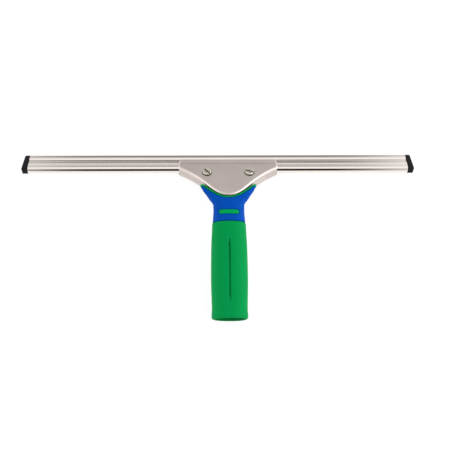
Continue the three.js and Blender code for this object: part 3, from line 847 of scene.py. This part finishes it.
def jaw_shell():
    """The front shell: a plate with a drawn edge, open at the top for the channel."""
    outline = jaw_outline()
    seam = HEAD_MIDDLE + JAW_SEAM / 2
    rings = []
    for angle in np.radians(np.linspace(90, 0, 9)):
        inset = JAW_EDGE_RADIUS * (1 - math.cos(angle))
        depth = JAW_FRONT - JAW_EDGE_RADIUS * (1 - math.sin(angle))
        rings.append([(x, y, depth) for x, y in grown(outline, -inset)])
    rings.append([(x, y, seam + 0.1) for x, y in outline])
    rings.append([(x, y, seam) for x, y in grown(outline, -0.1)])
    rings.append([(x, y, seam) for x, y in grown(outline, -JAW_SHEET)])
    rings.append([(x, y, TOUCH_GAP) for x, y in grown(outline, -JAW_SHEET)])
    shell = solid(*skin_over(rings))
    wide = JAW_HALF_WIDTH + 5
    seat = CHANNEL_BOTTOM - TOUCH_GAP
    room = block((-wide, seat, seam - 5), (wide, JAW_TOP + 5, TOUCH_GAP - 0.02))
    shell = cut(shell, room)
    inner = grown(outline, -JAW_EDGE_RADIUS - 0.1)
    band = [(x, y) for x, y in inner if y > BAND_BOTTOM + 0.2]
    levels = ((JAW_FRONT - 0.5, -0.8), (JAW_FRONT + BAND_RISE, 0.0))
    rings = []
    for depth, shift in levels:
        low = BAND_BOTTOM + shift
        ends = [(-JAW_HALF_WIDTH + 2.2, low), (JAW_HALF_WIDTH - 2.2, low)]
        rings.append([(x, y, depth) for x, y in ends + band])
    shell = combined(shell, solid(*skin_over(rings)), "UNION")
    for x in (-screw_half_spacing, screw_half_spacing):
        hole = turned([(0, -3), (SCREW_HOLE / 2, -3), (SCREW_HOLE / 2, 5), (0, 5)], x, SCREW_HEIGHT)
        shell = cut(shell, hole)
    return shell


# ---- The bent centre line and the handle's skin ----

bend = math.radians(BEND)
bend_radius = BEND_TANGENT / math.tan(bend / 2)


def centre_line(along):
    """Where the centre line is, and how far it has turned down, at a distance along it."""
    if along <= -BEND_TANGENT:
        return along, 0.0, 0.0
    if along >= BEND_TANGENT:
        return along * math.cos(bend), -along * math.sin(bend), bend
    turn = bend * (along + BEND_TANGENT) / (2 * BEND_TANGENT)
    return -BEND_TANGENT + bend_radius * math.sin(turn), -bend_radius * (1 - math.cos(turn)), turn


def skin_at(stations, along):
    """Half width, half thickness and squareness: a smooth curve through the stations."""
    last = len(stations) - 2
    i = 0
    while i < last and along < stations[i + 1][0]:
        i += 1
    before, start, end, after = (
        np.array(stations[max(0, min(k, last + 1))]) for k in (i - 1, i, i + 1, i + 2)
    )
    step = end[0] - start[0]
    t = min(max((along - start[0]) / step, 0.0), 1.0)
    slope_start = (end - before) / (end[0] - before[0]) * step
    slope_end = (after - start) / (after[0] - start[0]) * step
    cube, square = t**3, t * t
    value = (2 * cube - 3 * square + 1) * start + (cube - 2 * square + t) * slope_start
    value = value + (3 * square - 2 * cube) * end + (cube - square) * slope_end
    return value[1:]


RING_POINTS = 96


def skin_ring(stations, along, inset=0.0, angles=None, relief=None):
    """One ring of the skin; relief sinks its points by the depth that it gives at each x."""
    half_width, half_thickness, squareness = skin_at(stations, along)
    y, z, turn = centre_line(along)
    if angles is None:
        angles = (np.arange(RING_POINTS) + 0.5) / RING_POINTS * 2 * math.pi
    ring = []
    for angle in angles:
        across = math.copysign(abs(math.cos(angle)) ** (2 / squareness), math.cos(angle))
        up = math.copysign(abs(math.sin(angle)) ** (2 / squareness), math.sin(angle))
        x = across * (half_width - inset)
        out = up * (half_thickness - inset)
        if relief and out > 0:
            out -= relief(x, along)
        ring.append((x, y + out * math.sin(turn), z + out * math.cos(turn)))
    return ring


def handle_skin(stations, places, inset=0.0):
    return solid(*skin_over([skin_ring(stations, along, inset) for along in places]))


def core_skin(inset, top, bottom):
    """The collar's inside and the sleeve's inside, as one skin."""
    neck = [skin_ring(COLLAR_SKIN, a, inset) for a in np.linspace(top, COLLAR_END, 24)]
    sleeve_inset = inset - COLLAR_WALL + SLEEVE_WALL
    grip = [
        skin_ring(SLEEVE_SKIN, a, sleeve_inset) for a in np.linspace(COLLAR_END - 0.5, bottom, 30)
    ]
    return solid(*skin_over(neck + grip))


def jaw_room(distance):
    outline = grown(jaw_outline(), distance)
    return moved(slab(outline, JAW_REAR - 20, JAW_FRONT + 20), HEAD_IN_HANDLE)


WING_START = WING_TOP + HEAD_DATUM
COLLAR_PLACES = np.linspace(WING_START - WING_CAP - 0.15, COLLAR_END, 60)
CORE_TOP = JAW_BOTTOM + HEAD_DATUM - 1


def pill(inset, count=24):
    """The badge's outline: a plain lozenge with round ends."""
    radius = BADGE_HEIGHT / 2 - inset
    reach = BADGE_WIDTH / 2 - inset - radius
    right = arc((reach, BADGE_ALONG), radius, -90, 90, count)
    left = arc((-reach, BADGE_ALONG), radius, 90, 270, count)
    return right + left


def collar_mesh():
    collar = handle_skin(COLLAR_SKIN, COLLAR_PLACES)
    inside = core_skin(COLLAR_WALL, CORE_TOP + TOUCH_GAP, COLLAR_END - 5)
    room = jaw_room(WORKING_GAP + RIM_WALL + RIM_SEAM)
    border = COLLAR_END + BORDER_GROOVE[0]
    relief = handle_skin(COLLAR_SKIN, (border, COLLAR_END - 0.5), -1.0)
    relief = cut(relief, handle_skin(COLLAR_SKIN, (border + 1, COLLAR_END - 1), BORDER_GROOVE[1]))
    pocket = cut(slab(pill(0.0), 1, 20), handle_skin(COLLAR_SKIN, COLLAR_PLACES, BADGE_SEAT))
    return cut(collar, inside, room, pocket, relief)


def badge_mesh():
    """The badge follows the collar's front, with its edge stepped down in three thin layers."""
    badge = None
    for inset, rise in ((0.0, 0.0), (0.12, 0.05), (0.3, 0.08)):
        front = handle_skin(COLLAR_SKIN, COLLAR_PLACES, -rise)
        layer = combined(slab(pill(BADGE_GAP + inset), 1, 20), front, "INTERSECT")
        badge = combined(badge, layer, "UNION") if badge else layer
    return cut(badge, handle_skin(COLLAR_SKIN, COLLAR_PLACES, BADGE_SEAT - 0.15))


def core_mesh():
    body = core_skin(COLLAR_WALL + 0.05, CORE_TOP, GRIP_END + CORE_END_INSET)
    band = jaw_room(WORKING_GAP + RIM_WALL)
    wings = handle_skin(COLLAR_SKIN, np.linspace(WING_START, -BEND_TANGENT, 48), -RIM_RISE)
    caps = handle_skin(COLLAR_SKIN, np.linspace(WING_START, WING_START - WING_CAP, 4), -RIM_RISE)
    for part in (combined(wings, band, "INTERSECT"), caps):
        body = combined(body, part, "UNION")
    body = cut(body, jaw_room(WORKING_GAP))
    mouth = GRIP_END + CORE_END_INSET
    floor = mouth + SOCKET_DEPTH
    flare, flare_length = SOCKET_FLARE
    bore = turned(
        [
            (0, mouth - 1),
            (SOCKET_MOUTH_RADIUS + flare, mouth - 1),
            (SOCKET_MOUTH_RADIUS + flare, mouth),
            (SOCKET_MOUTH_RADIUS, mouth + flare_length),
            (SOCKET_FLOOR_RADIUS, floor - SOCKET_CHAMFER),
            (SOCKET_FLOOR_RADIUS - SOCKET_CHAMFER, floor),
            (0, floor),
        ]
    )
    return cut(body, moved(bore, Matrix.Rotation(math.radians(-90), 4, "X")))


def groove_depth(x, along):
    """The front groove: a fine line with a soft flank on each side, run out at both ends."""
    low, high = GRIP_GROOVE_ENDS
    fade_top = min(max((high - along) / GRIP_GROOVE_RUNOUT, 0.0), 1.0)
    fade_end = min(max((along - low) / GRIP_GROOVE_RUNOUT, 0.0), 1.0)
    ends = fade_top * fade_end
    ends = ends * ends * (3 - 2 * ends)
    line = GRIP_GROOVE_DEPTH * math.exp(-((x / GRIP_GROOVE_WIDTH) ** 2))
    flank = GRIP_FLANK_DEPTH * math.exp(-(((x - GRIP_FLANK_MIDDLE) / GRIP_FLANK_WIDTH) ** 2))
    return ends * (line + flank)


# Degrees round the grip, with the points between them: close together where the groove runs.
SLEEVE_FAN = ((-90, 70, 56), (70, 82, 8), (82, 98, 41), (98, 110, 8), (110, 270, 56))


def sleeve_mesh():
    """The soft sleeve: outside, rolled end, inside and back again, as one closed tube."""
    fan = [np.linspace(start, end, count, endpoint=False) for start, end, count in SLEEVE_FAN]
    angles = np.radians(np.concatenate(fan))
    top = COLLAR_END - TOUCH_GAP / 2
    roll = GRIP_END + SLEEVE_ROLL
    body = np.linspace(top - SLEEVE_BREAK, GRIP_END + 6.5, 76)
    outside = np.concatenate([body, np.linspace(GRIP_END + 5.9, roll, 14)])
    inside = np.linspace(GRIP_END + 0.5, top, 30)
    rings = [skin_ring(SLEEVE_SKIN, top, SLEEVE_BREAK, angles)]
    rings += [skin_ring(SLEEVE_SKIN, along, 0.0, angles, groove_depth) for along in outside]
    for turn in np.radians(np.linspace(15, 165, 11)):
        inset = SLEEVE_WALL / 2 * (1 - math.cos(turn))
        rings.append(skin_ring(SLEEVE_SKIN, roll - SLEEVE_ROLL * math.sin(turn), inset, angles))
    rings += [skin_ring(SLEEVE_SKIN, along, SLEEVE_WALL, angles) for along in inside]
    return solid(*skin_over(rings, closed=True))


# ---- Screws, washers and nuts ----

WASHER_LOW = JAW_FRONT + 0.02
WASHER_THICKNESS = 0.5
WASHER_RADIUS = 4.5
WASHER_HOLE_RADIUS = 2.2
HEAD_LOW = WASHER_LOW + WASHER_THICKNESS + 0.02
HEAD_RADIUS = 4.0
HEAD_SIDE = 0.8
HEAD_DOME = 0.35
HEAD_EDGE = 0.3  # radius of the head's rounded edge
SLOT_WIDTH = 1.2
SLOT_DEPTH = 1.0
SLOT_LOW = HEAD_LOW + HEAD_SIDE + HEAD_DOME - SLOT_DEPTH
SHANK_RADIUS = 1.7
SHANK_CHAMFER = (0.4, 0.5)  # width and length of the point's chamfer
SHANK_BEYOND_NUT = 1.0
THREAD_RADIUS = 1.65
THREAD_PITCH = 0.7
THREAD_TURNS = 17
THREAD_WIRE = 0.33
THREAD_START = 0.6
NUT_HIGH = JAW_REAR - 0.05
NUT_HEIGHT = 3.3
NUT_ACROSS_FLATS = 7.0
NUT_FACE_RADIUS = 3.4
NUT_CHAMFER = 0.4
NUT_BORE_RADIUS = 1.95
SLOT_ANGLES = {"left": -50.0, "right": -21.0}


def screw_mesh():
    """A slotted screw with a low domed head and a rolled thread."""
    tip = NUT_HIGH - NUT_HEIGHT - SHANK_BEYOND_NUT
    shoulder = HEAD_LOW + HEAD_SIDE
    face = HEAD_RADIUS - HEAD_EDGE
    edge = arc((face, shoulder - HEAD_EDGE), HEAD_EDGE, 0, 75, 6)
    dome = [
        (face * math.cos(a), shoulder + HEAD_DOME * math.sin(a)) for a in np.radians(range(10, 91, 8))
    ]
    narrowing, point = SHANK_CHAMFER
    profile = [(0, tip), (SHANK_RADIUS - narrowing, tip), (SHANK_RADIUS, tip + point)]
    profile += [(SHANK_RADIUS, HEAD_LOW)]
    profile += [(HEAD_RADIUS - 0.1, HEAD_LOW), (HEAD_RADIUS, HEAD_LOW + 0.1)]
    body = turned(profile + edge + dome)
    body = cut(body, block((-6, -SLOT_WIDTH / 2, SLOT_LOW), (6, SLOT_WIDTH / 2, SLOT_LOW + 5)))
    sizes = {
        "Radius": THREAD_RADIUS,
        "Turns": float(THREAD_TURNS),
        "Height": THREAD_TURNS * THREAD_PITCH,
        "Wire Radius": THREAD_WIRE,
        "Wire Sides": 4,
        "Steps": 24,
    }
    thread = made_by(coil_tree, bpy.data.meshes.new("empty"), sizes)
    thread.transform(Matrix.Translation((0, 0, tip + THREAD_START)))
    return joined(body, thread)


def in_slot(point):
    """Whether a point of the screw lies on the slot's floor or walls, the faces that take the dark
    steel as painted shade.
    """
    on_head = math.hypot(point.x, point.y) < HEAD_RADIUS + 0.1
    across = abs(point.y) < SLOT_WIDTH / 2 + 0.01
    return on_head and across and SLOT_LOW - 0.01 < point.z < SLOT_LOW + SLOT_DEPTH - 0.1


def joined(*meshes):
    """Several meshes as one, each still its own closed shell."""
    work = bmesh.new()
    for mesh in meshes:
        work.from_mesh(mesh)
    result = bpy.data.meshes.new("joined")
    work.to_mesh(result)
    work.free()
    return result


def washer_mesh():
    """A flat washer with its edges broken."""
    low, high = WASHER_LOW, WASHER_LOW + WASHER_THICKNESS
    inner, outer = WASHER_HOLE_RADIUS, WASHER_RADIUS
    section = eased([(inner, low), (outer, low), (outer, high), (inner, high)], 0.12, 3, closed=True)
    angles = np.radians(np.arange(0, 360, 4))
    rings = [[(r * math.cos(a), r * math.sin(a), z) for r, z in section] for a in angles]
    return solid(*skin_over(rings, closed=True))


def nut_mesh():
    """A hexagon nut with both faces chamfered."""
    corner = NUT_ACROSS_FLATS / 2 / math.cos(math.pi / 6)
    low, high = NUT_HIGH - NUT_HEIGHT, NUT_HIGH
    prism = turned([(0, low), (corner, low), (corner, high), (0, high)], steps=6)
    cone = turned(
        [
            (0, low),
            (NUT_FACE_RADIUS, low),
            (corner + 0.05, low + NUT_CHAMFER),
            (corner + 0.05, high - NUT_CHAMFER),
            (NUT_FACE_RADIUS, high),
            (0, high),
        ]
    )
    bore_ends = (low - 1, high + 1)
    bore = [(0, bore_ends[0]), *((NUT_BORE_RADIUS, z) for z in bore_ends), (0, bore_ends[1])]
    return cut(combined(prism, cone, "INTERSECT"), turned(bore))


# ---- Build ----

STRIP = rolled_stainless()
PLATE = satin_stainless()
SCREW = turned_steel()
# Blackened steel for the washers, also put in the screws' slots as painted shade.
DARK_STEEL_AND_SLOT_SHADE = blackened_steel_and_slot_shade()
RUBBER = black_rubber()
NYLON = black_nylon()
BLUE = blue_polypropylene()
GREEN = green_polypropylene()
GRIP = green_soft_grip()
bar_tree = drawn_bar_tree()
coil_tree = swept_coil_tree()


def build_head():
    strip = sheet_outline(channel_line(), CHANNEL_SHEET)
    channel = drawn_bar(strip, CHANNEL_LEFT, CHANNEL_RIGHT, STRIP)
    finished("channel_strip", channel, HEAD, "channel", "channel", STRIP, 50)
    section = eased(blade_section(), 0.12, 2, closed=True)
    blade = drawn_bar(section, CHANNEL_LEFT, CHANNEL_RIGHT, RUBBER)
    finished("blade_rubber", blade, HEAD, "blade", "rubber_blade", RUBBER, 30)
    for side, name, end in ((-1, "left", CHANNEL_LEFT), (1, "right", CHANNEL_RIGHT)):
        place = HEAD @ Matrix.Translation((end, 0, 0))
        clip = clip_mesh(side)
        body, node = f"{name}_clip", f"{name}_end_clip"
        finished(f"{name}_clip", clip, place, body, node, NYLON)
    shell = jaw_shell()
    finished("front_jaw_shell", shell.copy(), HEAD, "front_jaw", "front_jaw", PLATE)
    turn_over = Matrix.Translation((0, 0, 2 * HEAD_MIDDLE)) @ Matrix.Scale(-1, 4, (0, 0, 1))
    finished("rear_jaw_shell", shell, HEAD @ turn_over, "handle", "rear_jaw", PLATE)


def build_fasteners():
    for side, x in (("left", -screw_half_spacing), ("right", screw_half_spacing)):
        place = HEAD @ Matrix.Translation((x, SCREW_HEIGHT, 0))
        turn = Matrix.Rotation(math.radians(SLOT_ANGLES[side]), 4, "Z")
        finished(
            f"{side}_screw",
            screw_mesh(),
            place @ turn,
            f"{side}_screw",
            f"{side}_clamp_screw",
            SCREW,
            # The slot's floor and walls get the dark steel: painted shade in the slot.
            shade_lining=(DARK_STEEL_AND_SLOT_SHADE, in_slot),
        )
        washer, body, node = washer_mesh(), f"{side}_washer", f"{side}_screw_washer"
        finished(f"{side}_washer", washer, place, body, node, DARK_STEEL_AND_SLOT_SHADE)
        finished(f"{side}_nut", nut_mesh(), place, "handle", f"{side}_clamp_nut", SCREW)


def build_handle():
    finished("core", core_mesh(), HANDLE, "handle", "socket_core", GREEN)
    finished("collar_shell", collar_mesh(), HANDLE, "handle", "collar", BLUE)
    finished("badge", badge_mesh(), HANDLE, "handle", "badge_inlay", GREEN)
    finished("grip", sleeve_mesh(), HANDLE, "handle", "grip_sleeve", GRIP, 60)


build_head()
build_fasteners()
build_handle()

# ---- Table, light and camera ----


TABLE_SIZE = 8.0
TABLE_GLOW = 0.82


def table():
    """A pale table that glows a little, so that shadows stay faint."""
    bpy.ops.mesh.primitive_plane_add(size=TABLE_SIZE, location=(0, 0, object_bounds()[0][2] - 0.0002))
    top = bpy.context.object
    top.name = "table_top"
    material = bpy.data.materials.new("white_table")
    material.use_nodes = True
    tree = material.node_tree
    tree.nodes.clear()
    glow = add(tree, "ShaderNodeEmission", values={"Color": linear("#FFFFFF"), "Strength": TABLE_GLOW})
    matt = add(tree, "ShaderNodeBsdfDiffuse", values={"Color": linear("#8A8A8A")})
    both = add(tree, "ShaderNodeAddShader")
    tree.links.new(glow.outputs["Emission"], both.inputs[0])
    tree.links.new(matt.outputs["BSDF"], both.inputs[1])
    add(tree, "ShaderNodeOutputMaterial", links={"Surface": both.outputs["Shader"]})
    top.data.materials.append(material)


RANGE_ENDS = ("From Min", "From Max", "To Min", "To Max")

# The room's brightness, by degrees from the horizon past the channel, over the top, to the one
# past the grip: a dim wall, a broad soft light overhead, and a dark space behind the camera.
ROOM = (
    (0, 0.2),
    (3, 0.3),
    (8, 0.62),
    (24, 0.6),
    (28, 0.26),
    (34, 0.26),
    (39, 1.0),
    (105, 1.0),
    (112, 0.03),
    (180, 0.03),
)
STRIP_HALF_WIDTH = (0.18, 0.36)  # sine of the angle to either side at which the strip ends
ROOM_SIDES = (0.98, 2.7)  # brightness just past the strip, and of the windows at both ends
RIGHT_EXTRA = 0.25  # how much the room gains in brightness towards the right
WINDOW_START = (0.55, 0.95)  # sine of the angle to either side at which the windows start


def studio():
    """A white room whose middle strip follows the brightness list, and whose sides are light."""
    world = bpy.data.worlds.new("studio")
    bpy.context.scene.world = world
    world.use_nodes = True
    tree = world.node_tree
    tree.nodes.clear()
    place = add(tree, "ShaderNodeTexCoord")
    axes = add(tree, "ShaderNodeSeparateXYZ", links={"Vector": place.outputs["Generated"]})
    angle = add(tree, "ShaderNodeMath", operation="ARCTAN2")
    tree.links.new(axes.outputs["Z"], angle.inputs[0])
    tree.links.new(axes.outputs["Y"], angle.inputs[1])
    half_turn = add(
        tree,
        "ShaderNodeMapRange",
        links={"Value": angle.outputs["Value"]},
        values={"From Min": 0.0, "From Max": math.pi, "To Min": 0.0, "To Max": 1.0},
    )
    ramp = add(tree, "ShaderNodeValToRGB", links={"Fac": half_turn.outputs["Result"]})
    stops = ramp.color_ramp.elements
    for degrees, brightness in ROOM:
        ends = {ROOM[0][0]: stops[0], ROOM[-1][0]: stops[-1]}
        stop = ends.get(degrees) or stops.new(degrees / 180)
        stop.color = (brightness, brightness, brightness, 1.0)
    aside = add(tree, "ShaderNodeMath", operation="ABSOLUTE")
    tree.links.new(axes.outputs["X"], aside.inputs[0])
    windows = add(
        tree,
        "ShaderNodeMapRange",
        links={"Value": aside.outputs["Value"]},
        values=dict(zip(RANGE_ENDS, (*WINDOW_START, *ROOM_SIDES))),
        interpolation_type="SMOOTHSTEP",
    )
    to_side = add(
        tree,
        "ShaderNodeMapRange",
        links={"Value": aside.outputs["Value"]},
        values=dict(zip(RANGE_ENDS, (*STRIP_HALF_WIDTH, 0.0, 1.0))),
        interpolation_type="SMOOTHSTEP",
    )
    slope = add(tree, "ShaderNodeMath", operation="MULTIPLY_ADD")
    tree.links.new(axes.outputs["X"], slope.inputs[0])
    slope.inputs[1].default_value = RIGHT_EXTRA
    slope.inputs[2].default_value = 1.0
    sides = add(tree, "ShaderNodeMath", operation="MULTIPLY")
    tree.links.new(windows.outputs["Result"], sides.inputs[0])
    tree.links.new(slope.outputs["Value"], sides.inputs[1])
    room = add(
        tree,
        "ShaderNodeMix",
        links={"Factor": to_side.outputs["Result"], "B": sides.outputs["Value"]},
        data_type="FLOAT",
    )
    tree.links.new(ramp.outputs["Color"], room.inputs["A"])
    shade = room.outputs["Result"]
    backdrop = add(tree, "ShaderNodeBackground", links={"Color": shade}, values={"Strength": 1.05})
    add(tree, "ShaderNodeOutputWorld", links={"Surface": backdrop.outputs["Background"]})


CAMERA_ELEVATION = 71.5
CAMERA_DISTANCE = 0.607
CAMERA_ROLL = 0.13
CAMERA_ASIDE = 0.0137  # how far the lens stands to the left of the view's middle
LENS = 52.56  # millimetres, for a sensor 36 millimetres wide
FIELD_OF_VIEW = 2 * math.atan(36 / 2 / LENS)
VIEW_BELOW = 0.0573  # the view's middle: below the channel, and to its right
VIEW_RIGHT = 0.0067


def camera():
    """Looks down on the tool from the grip's side, close enough for the ends to spread a little."""
    data = bpy.data.cameras.new("camera")
    data.angle = FIELD_OF_VIEW
    made = bpy.data.objects.new("camera", data)
    bpy.context.scene.collection.objects.link(made)
    tilt = math.radians(CAMERA_ELEVATION)
    back = Vector((0, -math.cos(tilt), math.sin(tilt)))
    up = Vector((0, math.sin(tilt), math.cos(tilt)))
    channel_front = HEAD.translation.copy()
    channel_front.x = (channel_low[0] + channel_high[0]) / 2
    centre = channel_front - up * VIEW_BELOW + RIGHT * VIEW_RIGHT
    made.location = centre + back * CAMERA_DISTANCE - RIGHT * CAMERA_ASIDE
    data.shift_x = CAMERA_ASIDE / (2 * CAMERA_DISTANCE * math.tan(FIELD_OF_VIEW / 2))
    facing = (-back).to_track_quat("-Z", "Y").to_matrix()
    made.rotation_euler = (facing @ Matrix.Rotation(math.radians(-CAMERA_ROLL), 3, "Z")).to_euler()
    bpy.context.scene.camera = made


table()
studio()
camera()
bpy.context.scene.view_settings.view_transform = "Standard"
